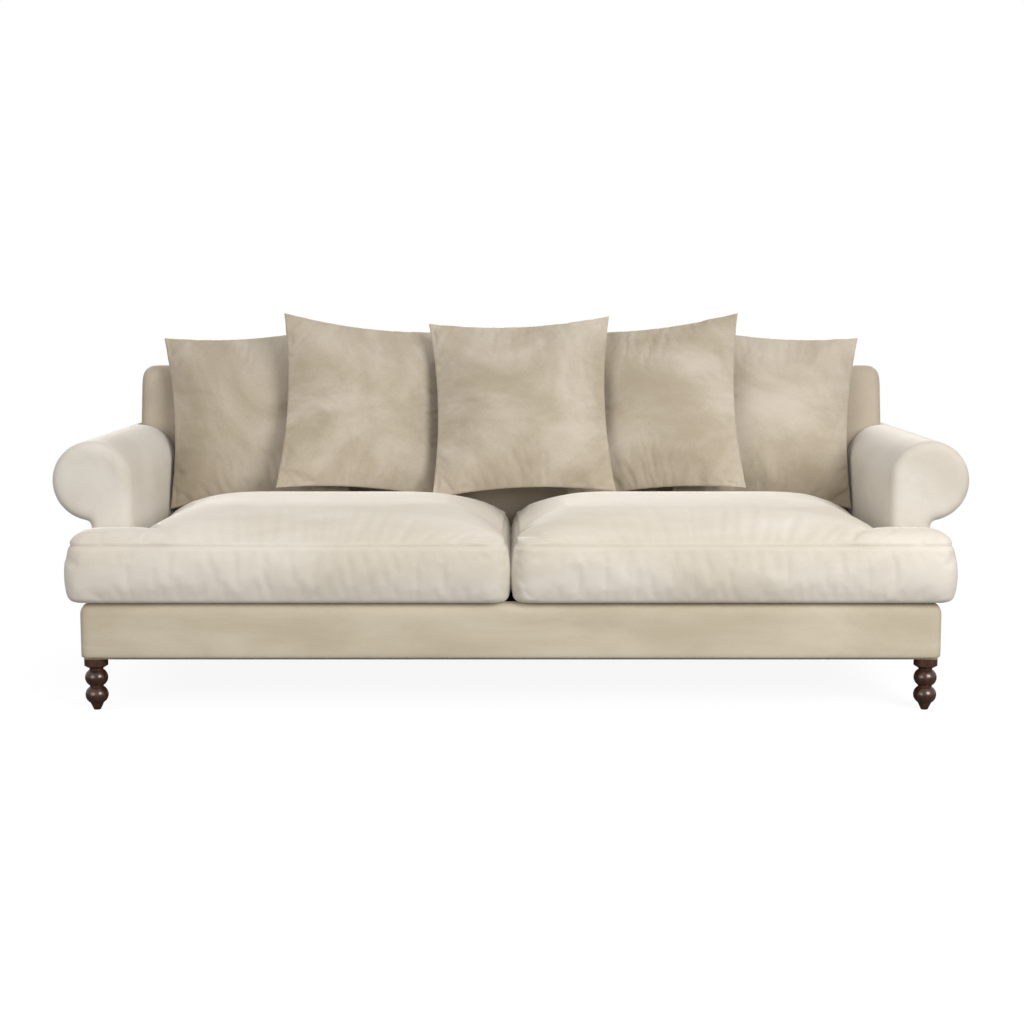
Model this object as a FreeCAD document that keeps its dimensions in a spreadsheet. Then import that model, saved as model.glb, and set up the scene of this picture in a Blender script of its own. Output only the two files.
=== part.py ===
import FreeCAD, Part
import math
import os

import Sketcher

# Upholstered two-seat scroll-arm sofa on turned feet, with two T-shaped seat cushions and five
# loose scatter cushions. Millimetres, +Z up, the front faces -Y, origin at the bottom centre.

SIZES = [
    ("overall_width", 2464, "across the arm rolls"),
    ("base_width", 2260, "across the padded base"),
    ("base_depth", 1000, "base front to base rear"),
    ("base_height", 152, "underside of the base to the deck"),
    ("foot_height", 138, "floor to the underside of the base"),
    ("cushion_overhang", 30, "seat cushion front past the base front"),
    ("arm_height", 700, "floor to the top of the arm roll"),
    ("arm_setback", 150, "base front to arm front"),
    ("roll_radius", 108, "arm roll over its cover"),
    ("inside_depth", 825, "base front to the inside back, at arm height"),
    ("back_height", 875, "floor to the top of the back"),
    ("back_rake", 12, "degrees that the inside back leans"),
    ("soft_clearance", 0.3, "between a soft piece and its neighbour"),
    ("base_padding", 12, "wadding and velvet on the base rails"),
    ("base_edge_round", 30, "rounding of the base's top edge"),
    ("base_corner_round", 25, "rounding of the base's upright edges"),
    ("arm_padding", 24, "foam and velvet on the arm frame"),
    ("arm_front_padding", 34, "foam and velvet on the arm's front"),
    ("arm_edge_round", 30, "rounding of the arm's front edge"),
    ("crease_round", 12, "where the roll turns into the outside arm"),
    ("panel_padding", 12, "outside arm and outside back panels"),
    ("back_padding", 55, "foam and velvet in front of the back webbing"),
    ("back_end_padding", 20, "foam and velvet on the back's ends"),
    ("back_top_round", 60, "rounding along the top of the back"),
    ("back_end_round", 34, "rounding of the back's ends"),
    ("cloth_thickness", 2, "platform cloth"),
    ("deck_pad_thickness", 12, "felt pad under the platform cloth"),
    ("dust_cover_thickness", 1.5, "cloth stretched under the base"),
    ("web_thickness", 2, "elastic webbing"),
    ("web_width", 70, "elastic webbing"),
    ("seat_web_count", 15, "webs from front rail to rear rail"),
    ("back_web_count", 9, "webs up the back"),
    ("rail_thickness", 30, "hardwood rails"),
    ("leg_block", 75, "square corner block over each foot"),
    ("stretcher_offset", 344, "centre line to a seat stretcher"),
    ("stretcher_height", 90, "seat stretcher"),
    ("dowel_radius", 5, "beech dowels"),
    ("dowel_length", 50, "half of it in each piece"),
    ("dowel_spacing", 56, "between the two dowels of a wide joint"),
    ("hole_clearance", 0.1, "round a dowel, bolt or nut"),
    ("hole_end_clearance", 1, "past the end of a dowel or bolt"),
    ("scroll_board", 32, "thickness of the arm's scroll boards"),
    ("arm_top_rail_size", 50, "square rail inside the arm roll"),
    ("arm_foot_rail_height", 40, "rail along the foot of the arm"),
    ("tacking_rail_height", 35, "rail under the arm roll, and the back's cross rails"),
    ("post_thickness", 32, "back posts and uprights"),
    ("post_foot", 62, "depth of a back post where it stands on the base"),
    ("post_knee", 140, "deck to the bend of a back post"),
    ("back_rail_depth", 36, "cross rails of the back"),
    ("upright_offset", 356, "centre line to a back upright"),
    ("bolt_radius", 4, "coach bolts that hold arms and back to the base"),
    ("bolt_length", 92, "coach bolt under its head"),
    ("bolt_head_radius", 8, "coach bolt head"),
    ("bolt_head_height", 6, "coach bolt head"),
    ("foot_inset", 36, "base side and front to a foot's centre"),
    ("ball_radius", 30, "the two turned balls of a foot"),
    ("ball_height", 42, "each turned ball"),
    ("neck_radius", 18, "grooves between the turned parts"),
    ("neck_height", 4, "grooves between the turned parts"),
    ("tip_radius", 9, "flat that stands on the floor"),
    ("tip_height", 19, "tapered tip under the lower ball"),
    ("collar_radius", 31, "top of a foot"),
    ("flare_height", 8, "cove under the collar"),
    ("foot_bolt_radius", 5, "hanger bolt in a foot"),
    ("foot_bolt_length", 70, "half of it in the foot"),
    ("nut_radius", 7, "barrel of a tee nut"),
    ("nut_height", 16, "barrel of a tee nut"),
    ("nut_flange_radius", 13, "flange of a tee nut"),
    ("nut_flange_height", 1.5, "flange of a tee nut"),
    ("cushion_span", 2330, "across the ears of the two seat cushions"),
    ("cushion_gap", 2, "between the two seat cushions"),
    ("cushion_clearance", 4, "seat cushion to arm and back"),
    ("boxing_height", 150, "side band of a seat cushion"),
    ("boxing_bulge", 7, "swell of the side band"),
    ("seat_crown", 70, "rise of a seat cushion over its seam"),
    ("ear_crown", 36, "rise of the ear in front of the arm"),
    ("seam_piping", 5, "piped seam between the band and the crown"),
    ("seat_corner", 48, "corner rounding of a seat cushion"),
    ("seat_draw_in", 6, "drawn-in sides of a seat cushion"),
    ("cover_thickness", 2, "velvet cover of a loose cushion"),
    ("scatter_size", 540, "scatter cushion from ear to ear"),
    ("scatter_front", 80, "swell of a scatter cushion's front"),
    ("scatter_rear", 46, "swell of its rear, which is pressed flatter"),
    ("scatter_corner", 18, "rounding of a scatter cushion's ears"),
    ("scatter_draw_in", 22, "drawn-in sides of a scatter cushion"),
    ("scatter_lean", 20, "degrees that the scatter cushions lean back"),
    ("scatter_clearance", 5, "between a scatter cushion and what it leans on"),
    ("outer_scatter_offset", 765, "centre line to the outermost cushions"),
    ("outer_scatter_roll", 4.5, "degrees that they tip outwards"),
    ("inner_scatter_offset", 418, "centre line to the next two cushions"),
    ("inner_scatter_roll", 1, "degrees that these tip inwards"),
    ("inner_scatter_yaw", 15, "degrees that their outer edge stands forward"),
    ("inner_scatter_room", 15, "between these and the outermost, which lift out behind them"),
    ("middle_scatter_offset", 30, "the middle cushion lies right of the centre"),
    ("middle_scatter_yaw", 3, "degrees that its right edge stands forward"),
    ("middle_scatter_roll", 1.5, "degrees that it tips to the left"),
    ("middle_scatter_room", 22, "between it and the cushions behind, which pull out past its corners"),
]


class Size:
    """A number together with the words that bind a feature to the sheet's cells."""

    def __init__(self, number, words):
        self.number = number
        self.words = words

    def joined(self, other, sign, number):
        return Size(number, f"({self.words} {sign} {as_size(other).words})")

    def __add__(self, other):
        return self.joined(other, "+", self.number + as_size(other).number)

    def __sub__(self, other):
        return self.joined(other, "-", self.number - as_size(other).number)

    def __mul__(self, other):
        return self.joined(other, "*", self.number * as_size(other).number)

    def __truediv__(self, other):
        return self.joined(other, "/", self.number / as_size(other).number)

    def __neg__(self):
        return Size(-self.number, f"(0 - {self.words})")

    def root(self):
        return Size(math.sqrt(self.number), f"sqrt({self.words})")

    def tan(self):
        return Size(math.tan(math.radians(self.number)), f"tan({self.words} * 1 deg)")

    def cos(self):
        return Size(math.cos(math.radians(self.number)), f"cos({self.words} * 1 deg)")


def as_size(value):
    return value if isinstance(value, Size) else Size(value, repr(value))


doc = FreeCAD.newDocument("scroll_arm_sofa")
sheet = doc.addObject("Spreadsheet::Sheet", "Sizes")
cell = {}
for row, (alias, number, meaning) in enumerate(SIZES, start=1):
    sheet.set(f"A{row}", meaning)
    sheet.set(f"B{row}", str(number))
    sheet.setAlias(f"B{row}", alias)
    cell[alias] = Size(number, f"Sizes.{alias}")
doc.recompute()


# Planes and lines that several pieces share

soft = cell["soft_clearance"]
half_base = cell["base_width"] / 2
half_width = cell["overall_width"] / 2
base_front = (cell["cushion_overhang"] - cell["base_depth"]) / 2
base_rear = base_front + cell["base_depth"]
underside = cell["foot_height"]
deck = underside + cell["base_height"]
pad_low = deck - cell["cloth_thickness"] - cell["deck_pad_thickness"]
rail_top = pad_low - cell["web_thickness"]
rail_low = underside + cell["dust_cover_thickness"]
frame_side = half_base - cell["base_padding"]
frame_front = base_front + cell["base_padding"]
frame_rear = base_rear - cell["base_padding"]
rail_inside = frame_side - cell["rail_thickness"]
front_rail_inside = frame_front + cell["rail_thickness"]
rear_rail_inside = frame_rear - cell["rail_thickness"]
block_side = frame_side - cell["leg_block"]
block_front = frame_front + cell["leg_block"]
block_rear = frame_rear - cell["leg_block"]
arm_front = base_front + cell["arm_setback"]
board_front = arm_front + cell["arm_front_padding"]
roll_x = half_width - cell["roll_radius"]
roll_z = cell["arm_height"] - cell["roll_radius"]
arm_inside = roll_x - cell["roll_radius"]
arm_lining = arm_inside + cell["arm_padding"]
panel_inside = half_base - cell["panel_padding"]
back_shoulder = cell["back_height"] - cell["back_top_round"]
back_tangent = cell["back_top_round"] * ((as_size(90) - cell["back_rake"]) / 2).tan()


def inside_back(height):
    """Depth of the raked inside back at a height."""
    rise = height - cell["arm_height"]
    return base_front + cell["inside_depth"] + rise * cell["back_rake"].tan()


def back_web(height):
    """Depth of the back webbing's front at a height."""
    return inside_back(height) + cell["back_padding"] / cell["back_rake"].cos() + soft


def back_frame(height):
    """Depth of the front of the back's wooden frame at a height."""
    return back_web(height) + cell["web_thickness"]


# Ways of making a piece

nodes = []


def node(piece, label):
    """Names a finished piece, which gives it a file of its own."""
    piece.Label = label
    nodes.append(piece)
    return piece


def bind(piece, **sizes):
    for name, size in sizes.items():
        piece.setExpression(name, as_size(size).words)


def place(piece, x, y, z):
    for axis, size in zip("xyz", (x, y, z)):
        piece.setExpression(f"Placement.Base.{axis}", as_size(size).words)


def board(name, x, y, z):
    """A squared timber or flat panel between two limits on each axis."""
    piece = doc.addObject("Part::Box", name)
    bind(piece, Length=x[1] - x[0], Width=y[1] - y[0], Height=z[1] - z[0])
    place(piece, x[0], y[0], z[0])
    return piece


def rod(name, start, length, radius, along):
    """A round bar from a start point along +X, +Y or +Z."""
    piece = doc.addObject("Part::Cylinder", name)
    turns = {
        "x": FreeCAD.Rotation(FreeCAD.Vector(0, 1, 0), 90),
        "y": FreeCAD.Rotation(FreeCAD.Vector(1, 0, 0), -90),
        "z": FreeCAD.Rotation(),
    }
    piece.Placement.Rotation = turns[along]
    bind(piece, Radius=radius, Height=length)
    place(piece, *start)
    return piece


def group(label, pieces):
    """Several separate solids that share one node."""
    piece = doc.addObject("Part::Compound", label)
    piece.Links = pieces
    return node(piece, label)


def cut(blank, tool, name):
    piece = doc.addObject("Part::Cut", name)
    piece.Base = blank
    piece.Tool = tool
    return piece


def pair(right, label):
    """Names a right-hand piece and adds its left-hand twin."""
    node(right, f"right_{label}")
    left = doc.addObject("Part::Mirroring", f"left_{label}")
    left.Source = right
    left.Normal = FreeCAD.Vector(1, 0, 0)
    return node(left, f"left_{label}")


def sketch_on(body, role, offset):
    """A sketch on one of the body's own origin planes, moved along that plane's normal."""
    sketch = body.newObject("Sketcher::SketchObject", "profile")
    plane = next(item for item in body.Origin.OriginFeatures if item.Role == role)
    sketch.AttachmentSupport = (plane, "")
    sketch.MapMode = "FlatFace"
    sketch.setExpression("AttachmentOffset.Base.z", as_size(offset).words)
    return sketch


def outline(sketch, corners):
    """A closed outline through (across, up) corners, anticlockwise.

    A corner with a third value starts an arc of that radius to the next corner, bulging outwards,
    or inwards if a fourth value is true. A corner with two values starts a straight line.
    """
    points = [FreeCAD.Vector(as_size(c[0]).number, as_size(c[1]).number, 0) for c in corners]
    count = len(corners)
    ends = []
    for index, corner in enumerate(corners):
        start, end = points[index], points[(index + 1) % count]
        hollow = len(corner) == 4 and corner[3]
        ends.append((2, 1) if hollow else (1, 2))
        if len(corner) == 2:
            sketch.addGeometry(Part.LineSegment(start, end))
            continue
        chord = end - start
        reach = math.sqrt(corner[2].number ** 2 - chord.Length ** 2 / 4)
        left = FreeCAD.Vector(-chord.y, chord.x, 0).normalize()
        bulge = left * (reach - corner[2].number)
        sketch.addGeometry(Part.Arc(start, (start + end) / 2 + (-bulge if hollow else bulge), end))
    for index, corner in enumerate(corners):
        following = (index + 1) % count
        sketch.addConstraint(
            Sketcher.Constraint("Coincident", index, ends[index][1], following, ends[following][0]))
        for kind, size, number in zip(("DistanceX", "DistanceY"), corner, points[index]):
            spot = sketch.addConstraint(Sketcher.Constraint(kind, -1, 1, index, ends[index][0], number))
            sketch.setExpression(f"Constraints[{spot}]", as_size(size).words)
        if len(corner) > 2:
            bend = sketch.addConstraint(Sketcher.Constraint("Radius", index, corner[2].number))
            sketch.setExpression(f"Constraints[{bend}]", corner[2].words)


def rectangle(across, up):
    return [(across[0], up[0]), (across[1], up[0]), (across[1], up[1]), (across[0], up[1])]


def pad(body, role, offset, corners, length, **settings):
    """Pads an outline from one of the body's planes."""
    sketch = sketch_on(body, role, offset)
    outline(sketch, corners)
    feature = body.newObject("PartDesign::Pad", "pad")
    feature.Profile = sketch
    for name, value in settings.items():
        setattr(feature, name, value)
    bind(feature, Length=length)
    return feature


def pocket(body, role, offset, corners, length, **settings):
    """Cuts an outline out of a body, and makes sure that something was cut."""
    doc.recompute()
    before = body.Shape.Volume
    sketch = sketch_on(body, role, offset)
    outline(sketch, corners)
    feature = body.newObject("PartDesign::Pocket", "pocket")
    feature.Profile = sketch
    for name, value in settings.items():
        setattr(feature, name, value)
    bind(feature, Length=length)
    doc.recompute()
    if not body.Shape.Volume < before:
        raise RuntimeError(f"a pocket in {body.Name} cuts nothing")
    return feature


def fillet(body, base, radius, chosen):
    """Rounds the edges of a feature for which chosen(edge) is true."""
    doc.recompute()
    names = [f"Edge{i}" for i, edge in enumerate(base.Shape.Edges, start=1) if chosen(edge)]
    feature = body.newObject("PartDesign::Fillet", "fillet")
    feature.Base = (base, names)
    bind(feature, Radius=radius)
    return feature


def new_body(name):
    return doc.addObject("PartDesign::Body", name)


def turned(name, profile):
    """A piece turned on the lathe about its own upright axis."""
    body = new_body(name)
    sketch = sketch_on(body, "XZ_Plane", 0)
    outline(sketch, profile)
    turning = body.newObject("PartDesign::Revolution", "turning")
    turning.Profile = sketch
    turning.ReferenceAxis = (sketch, ["V_Axis"])
    turning.Angle = 360
    return body


def lies_at(edge, axis, size):
    """True where both ends of an edge lie at one place along an axis."""
    return all(abs(getattr(end.Point, axis) - size.number) < 1e-6 for end in edge.Vertexes)


# Dowels and coach bolts, with the holes that they sit in

dowels = []
bolts = []
holes = []


def dowel(x, y, z, along):
    """A dowel centred on a joint face, half of it in each piece."""
    centre = {"x": x, "y": y, "z": z}
    fit = cell["hole_clearance"]
    room = cell["hole_end_clearance"]
    for pieces, radius, length in (
        (dowels, cell["dowel_radius"], cell["dowel_length"]),
        (holes, cell["dowel_radius"] + fit, cell["dowel_length"] + room * 2),
    ):
        start = {**centre, along: centre[along] - length / 2}
        pieces.append(rod("dowel", start.values(), length, radius, along))


def dowel_pair(x, y, z, along):
    """Two dowels, one above the other, across a joint face."""
    for half in (-0.5, 0.5):
        dowel(x, y, z + cell["dowel_spacing"] * half, along)


def coach_bolt(x, y, z):
    """A bolt whose head stands on a rail at height z and whose shank goes down."""
    length = cell["bolt_length"]
    head = doc.addObject("Part::Prism", "bolt_head")
    head.Polygon = 6
    bind(head, Circumradius=cell["bolt_head_radius"], Height=cell["bolt_head_height"])
    place(head, x, y, z)
    bolt = doc.addObject("Part::Fuse", "bolt")
    bolt.Base = head
    bolt.Tool = rod("bolt_shank", (x, y, z - length), length, cell["bolt_radius"], "z")
    bolts.append(bolt)
    reach = length + cell["hole_end_clearance"]
    radius = cell["bolt_radius"] + cell["hole_clearance"]
    holes.append(rod("bolt_hole", (x, y, z - reach), reach, radius, "z"))


# Turned feet, each with a hanger bolt that screws into a tee nut in its corner block

foot_bolt_half = cell["foot_bolt_length"] / 2
foot_bore = cell["foot_bolt_radius"] + cell["hole_clearance"]
foot_bore_reach = foot_bolt_half + cell["hole_end_clearance"]
ball_bow = cell["ball_radius"] - cell["neck_radius"]
ball_arc = (ball_bow * ball_bow + cell["ball_height"] * cell["ball_height"] / 4) / (ball_bow * 2)
low_groove = cell["tip_height"] + cell["ball_height"]
high_ball = low_groove + cell["neck_height"]
high_groove = high_ball + cell["ball_height"]
flare = high_groove + cell["neck_height"]
foot_profile = [
    (0, 0),
    (cell["tip_radius"], 0),
    (cell["neck_radius"], cell["tip_height"], ball_arc),
    (cell["neck_radius"], low_groove),
    (cell["neck_radius"], high_ball, ball_arc),
    (cell["neck_radius"], high_groove),
    (cell["neck_radius"], flare),
    (cell["collar_radius"], flare + cell["flare_height"]),
    (cell["collar_radius"], underside),
    (foot_bore, underside),
    (foot_bore, underside - foot_bore_reach),
    (0, underside - foot_bore_reach),
]
nut_flange_top = underside + cell["nut_flange_height"]
nut_top = underside + cell["nut_height"]
nut_profile = [
    (foot_bore, underside),
    (cell["nut_flange_radius"], underside),
    (cell["nut_flange_radius"], nut_flange_top),
    (cell["nut_radius"], nut_flange_top),
    (cell["nut_radius"], nut_top),
    (foot_bore, nut_top),
]
foot_bolts = []
nuts = []
leg_blanks = []
for end, foot_y, block_y in (
    ("front", base_front + cell["foot_inset"], (frame_front, block_front)),
    ("rear", base_rear - cell["foot_inset"], (block_rear, frame_rear)),
):
    for side, foot_x, block_x in (
        ("left", cell["foot_inset"] - half_base, (-frame_side, -block_side)),
        ("right", half_base - cell["foot_inset"], (block_side, frame_side)),
    ):
        foot = node(turned(f"{end}_{side}_foot", foot_profile), f"{end}_{side}_foot")
        nut = turned("tee_nut", nut_profile)
        nuts.append(nut)
        for piece in (foot, nut):
            place(piece, foot_x, foot_y, 0)
        bolt_start = (foot_x, foot_y, underside - foot_bolt_half)
        foot_bolts.append(
            rod("foot_bolt", bolt_start, cell["foot_bolt_length"], cell["foot_bolt_radius"], "z"))
        nut_fit = cell["nut_radius"] + cell["hole_clearance"]
        flange_fit = cell["nut_flange_radius"] + cell["hole_clearance"]
        nut_seat = (foot_x, foot_y, underside)
        holes.append(rod("nut_hole", nut_seat, foot_bore_reach, nut_fit, "z"))
        holes.append(rod("flange_seat", nut_seat, cell["nut_flange_height"], flange_fit, "z"))
        leg_blanks.append(board("leg_blank", block_x, block_y, (underside, rail_top)))
group("foot_bolts", foot_bolts)
group("tee_nuts", nuts)


# Heights and places of the arm frame, which stands on the side rails between two scroll boards

board_rear = board_front + cell["scroll_board"]
tail = inside_back(deck)
tail_board = tail - soft - cell["scroll_board"]
board_radius = cell["roll_radius"] - cell["arm_padding"] - soft
board_outside = panel_inside - soft
arm_foot_top = rail_top + cell["arm_foot_rail_height"]
crease_hub = cell["roll_radius"] + cell["crease_round"]
crease_run = half_base + cell["crease_round"] - roll_x
crease_drop = (crease_hub * crease_hub - crease_run * crease_run).root()
crease_low = roll_z - crease_drop
crease_x = roll_x + crease_run * cell["roll_radius"] / crease_hub
crease_z = roll_z - crease_drop * cell["roll_radius"] / crease_hub
tacking_top = crease_z - soft
tacking_low = tacking_top - cell["tacking_rail_height"]
top_rail_half = cell["arm_top_rail_size"] / 2
side_line = frame_side - cell["rail_thickness"] / 2
arm_rail_middle = (board_rear + tail_board) / 2

# Heights and places of the back frame, which stands on the rear corner blocks

post_outside = half_base - cell["back_end_padding"] - soft
post_inside = post_outside - cell["post_thickness"]
post_rear = frame_rear - soft
knee = deck + cell["post_knee"]
frame_top = back_shoulder - soft
top_rail_low = frame_top - cell["tacking_rail_height"]
knee_rail_low = knee - cell["tacking_rail_height"]
back_foot_rail_low = rail_top + cell["web_thickness"]
back_foot_rail_top = back_foot_rail_low + cell["tacking_rail_height"]
web_pitch = block_side * 2 / cell["seat_web_count"]

# Joints of the frame

rail_middle = (rail_low + rail_top) / 2
front_line = frame_front + cell["rail_thickness"] / 2
rear_line = frame_rear - cell["rail_thickness"] / 2
half_depth = cell["back_rail_depth"] / 2
half_tacking = cell["tacking_rail_height"] / 2
for sign in (-1, 1):
    dowel_pair(block_side * sign, front_line, rail_middle, "x")
    dowel_pair(block_side * sign, rear_line, rail_middle, "x")
    dowel_pair(side_line * sign, block_front, rail_middle, "y")
    dowel_pair(side_line * sign, block_rear, rail_middle, "y")
    dowel_pair(cell["stretcher_offset"] * sign, front_rail_inside, rail_middle, "y")
    dowel_pair(cell["stretcher_offset"] * sign, rear_rail_inside, rail_middle, "y")
    for face in (board_rear, tail_board):
        dowel(roll_x * sign, face, roll_z, "y")
        dowel(side_line * sign, face, (rail_top + arm_foot_top) / 2, "y")
        dowel(side_line * sign, face, (tacking_low + tacking_top) / 2, "y")
    for share in (0.5, -0.5):
        run = tail_board - board_rear
        coach_bolt(side_line * sign, arm_rail_middle + run * (share / 2), arm_foot_top)
    dowel(post_inside * sign, back_frame(frame_top) + half_depth, frame_top - half_tacking, "x")
    dowel(post_inside * sign, back_frame(knee) + half_depth, knee - half_tacking, "x")
    dowel(post_inside * sign, rear_line, back_foot_rail_low + half_tacking, "x")
    for height in (knee, top_rail_low):
        dowel(cell["upright_offset"] * sign, back_frame(height) + half_depth, height, "z")
    for webs in (1.5, 4.5):
        coach_bolt(web_pitch * (webs * sign), rear_line, back_foot_rail_top)
group("frame_dowels", dowels)
group("coach_bolts", bolts)
joint_holes = doc.addObject("Part::Compound", "joint_holes")
joint_holes.Links = holes


# Base frame: rails between corner blocks, with two stretchers front to back

group("leg_blocks", [cut(blank, joint_holes, "leg_block") for blank in leg_blanks])
rail_height = (rail_low, rail_top)
rail_length = (-block_side, block_side)
front_blank = board("front_rail_blank", rail_length, (frame_front, front_rail_inside), rail_height)
node(cut(front_blank, joint_holes, "front_rail"), "front_rail")
rear_blank = board("rear_rail_blank", rail_length, (rear_rail_inside, frame_rear), rail_height)
node(cut(rear_blank, joint_holes, "rear_rail"), "rear_rail")
side_blank = board("side_rail_blank", (rail_inside, frame_side), (block_front, block_rear), rail_height)
pair(cut(side_blank, joint_holes, "side_rail"), "side_rail")
stretchers = []
stretcher_half = cell["stretcher_height"] / 2
for sign in (-1, 1):
    centre = cell["stretcher_offset"] * sign
    blank = board(
        "stretcher_blank",
        (centre - cell["rail_thickness"] / 2, centre + cell["rail_thickness"] / 2),
        (front_rail_inside, rear_rail_inside),
        (rail_middle - stretcher_half, rail_middle + stretcher_half),
    )
    stretchers.append(cut(blank, joint_holes, "stretcher"))
group("seat_stretchers", stretchers)


# Seat deck: webs stapled over the rails, a felt pad, and the dark platform cloth

seat_webs = []
web_half = cell["web_width"] / 2
for index in range(cell["seat_web_count"].number):
    centre = web_pitch * (index + 0.5) - block_side
    seat_webs.append(board(
        "seat_web",
        (centre - web_half, centre + web_half),
        (frame_front + soft, frame_rear - soft),
        (rail_top, pad_low),
    ))
group("seat_webs", seat_webs)
deck_front = front_rail_inside + soft
deck_wide = frame_side - soft
deck_outline = [
    (-deck_wide, deck_front),
    (deck_wide, deck_front),
    (deck_wide, board_front - soft),
    (arm_lining, board_front - soft),
    (arm_lining, block_rear),
    (-arm_lining, block_rear),
    (-arm_lining, board_front - soft),
    (-deck_wide, board_front - soft),
]
deck_pad = new_body("deck_pad")
pad(deck_pad, "XY_Plane", pad_low, deck_outline, cell["deck_pad_thickness"])
node(deck_pad, "deck_pad")
platform_cloth = new_body("platform_cloth")
pad(platform_cloth, "XY_Plane", deck - cell["cloth_thickness"], deck_outline, cell["cloth_thickness"])
node(platform_cloth, "platform_cloth")

# Dust cover under the base, notched round the corner blocks

cover_side = frame_side - soft
cover_front = frame_front + soft
cover_rear = frame_rear - soft
notch_side = block_side - soft
notch_front = block_front + soft
notch_rear = block_rear - soft
dust_cover = new_body("dust_cover")
dust_outline = [
    (-notch_side, cover_front),
    (notch_side, cover_front),
    (notch_side, notch_front),
    (cover_side, notch_front),
    (cover_side, notch_rear),
    (notch_side, notch_rear),
    (notch_side, cover_rear),
    (-notch_side, cover_rear),
    (-notch_side, notch_rear),
    (-cover_side, notch_rear),
    (-cover_side, notch_front),
    (-notch_side, notch_front),
]
pad(dust_cover, "XY_Plane", underside, dust_outline, cell["dust_cover_thickness"])
node(dust_cover, "dust_cover")


# Base cover: wadding and velvet round the rails, lapped over the front rail

base_cover = new_body("base_cover")
base_block = pad(
    base_cover, "XY_Plane", underside,
    rectangle((-half_base, half_base), (base_front, base_rear)), cell["base_height"])
base_corners = fillet(
    base_cover, base_block, cell["base_corner_round"],
    lambda edge: abs(edge.Vertexes[0].Z - edge.Vertexes[-1].Z) > 1)
fillet(base_cover, base_corners, cell["base_edge_round"], lambda edge: lies_at(edge, "z", deck))
lap_low = pad_low + soft
pocket(
    base_cover, "XY_Plane", underside,
    rectangle((-frame_side, frame_side), (frame_front, frame_rear)), lap_low - underside, Reversed=True)
pocket(
    base_cover, "XY_Plane", underside,
    rectangle((-frame_side, frame_side), (front_rail_inside, frame_rear)), cell["base_height"], Reversed=True)
node(base_cover, "base_cover")


# Arm frames

def scroll_board(name, front):
    """A board sawn to the arm's section, inside its padding."""
    reach = board_outside - roll_x
    hollow = roll_z - (board_radius * board_radius - reach * reach).root()
    eighth = board_radius * math.sqrt(0.5)
    body = new_body(name)
    corners = [
        (roll_x - board_radius, rail_top),
        (board_outside, rail_top),
        (board_outside, hollow, board_radius),
        (roll_x + eighth, roll_z + eighth, board_radius),
        (roll_x - board_radius, roll_z),
    ]
    pad(body, "XZ_Plane", -front, corners, cell["scroll_board"], Reversed=True)
    return cut(body, joint_holes, f"{name}_drilled")


arm_run = (board_rear, tail_board)
pair(scroll_board("front_scroll", board_front), "front_scroll_board")
pair(scroll_board("rear_scroll", tail_board), "rear_scroll_board")
top_rail_blank = board(
    "arm_top_blank",
    (roll_x - top_rail_half, roll_x + top_rail_half),
    arm_run,
    (roll_z - top_rail_half, roll_z + top_rail_half),
)
pair(cut(top_rail_blank, joint_holes, "arm_top_rail"), "arm_top_rail")
foot_rail_blank = board("arm_foot_blank", (rail_inside, board_outside), arm_run, (rail_top, arm_foot_top))
pair(cut(foot_rail_blank, joint_holes, "arm_foot_rail"), "arm_foot_rail")
tacking_blank = board("arm_tacking_blank", (rail_inside, board_outside), arm_run, (tacking_low, tacking_top))
pair(cut(tacking_blank, joint_holes, "arm_tacking_rail"), "arm_tacking_rail")


# Arm covers: a padded front, the inside arm carried over the roll, and the roll's tail past the back

arm_cover = new_body("arm_cover")
roll_eighth = cell["roll_radius"] * math.sqrt(0.5)
inner_radius = cell["roll_radius"] - cell["arm_padding"]
inner_eighth = inner_radius * math.sqrt(0.5)
tuck = roll_z - (cell["roll_radius"] * cell["roll_radius"] - inner_radius * inner_radius).root()
roll_over = [
    (roll_x + roll_eighth, roll_z + roll_eighth, cell["roll_radius"]),
    (arm_inside, roll_z),
]
front_outline = [
    (arm_inside, deck),
    (half_base, deck),
    (half_base, crease_low, cell["crease_round"], True),
    (crease_x, crease_z, cell["roll_radius"]),
] + roll_over
pad(arm_cover, "XZ_Plane", -arm_front, front_outline, cell["arm_front_padding"], Reversed=True)
hook_outline = [
    (arm_inside, deck),
    (arm_lining, deck),
    (arm_lining, roll_z, inner_radius, True),
    (roll_x + inner_eighth, roll_z + inner_eighth, inner_radius, True),
    (roll_x, roll_z - inner_radius),
    (crease_x, crease_z, cell["roll_radius"]),
] + roll_over
pad(arm_cover, "XZ_Plane", -board_front, hook_outline, tail - board_front, Reversed=True)
tail_outline = [
    (arm_inside, deck),
    (arm_lining, deck),
    (arm_lining, tuck, cell["roll_radius"]),
    (crease_x, crease_z, cell["roll_radius"]),
] + roll_over
arm_whole = pad(arm_cover, "XZ_Plane", -tail, tail_outline, base_rear - tail, Reversed=True)
fillet(
    arm_cover, arm_whole, cell["arm_edge_round"],
    lambda edge: lies_at(edge, "y", arm_front) and not lies_at(edge, "z", deck))
above = cell["arm_height"] + cell["roll_radius"]
past = base_rear + cell["roll_radius"]
back_space = [
    (inside_back(underside) - soft, underside),
    (past, underside),
    (past, above),
    (inside_back(above) - soft, above),
]
pocket(arm_cover, "YZ_Plane", half_base + soft, back_space, half_base)
pair(arm_cover, "arm_cover")
outside_arm = new_body("outside_arm")
panel_top = roll_z - cell["roll_radius"] - soft
outside_arm_outline = [
    (board_front, deck),
    (inside_back(deck) - soft, deck),
    (inside_back(panel_top) - soft, panel_top),
    (board_front, panel_top),
]
pad(outside_arm, "YZ_Plane", panel_inside, outside_arm_outline, cell["panel_padding"])
pair(outside_arm, "outside_arm")


# Back frame: two kneed posts, three cross rails and two uprights

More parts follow.
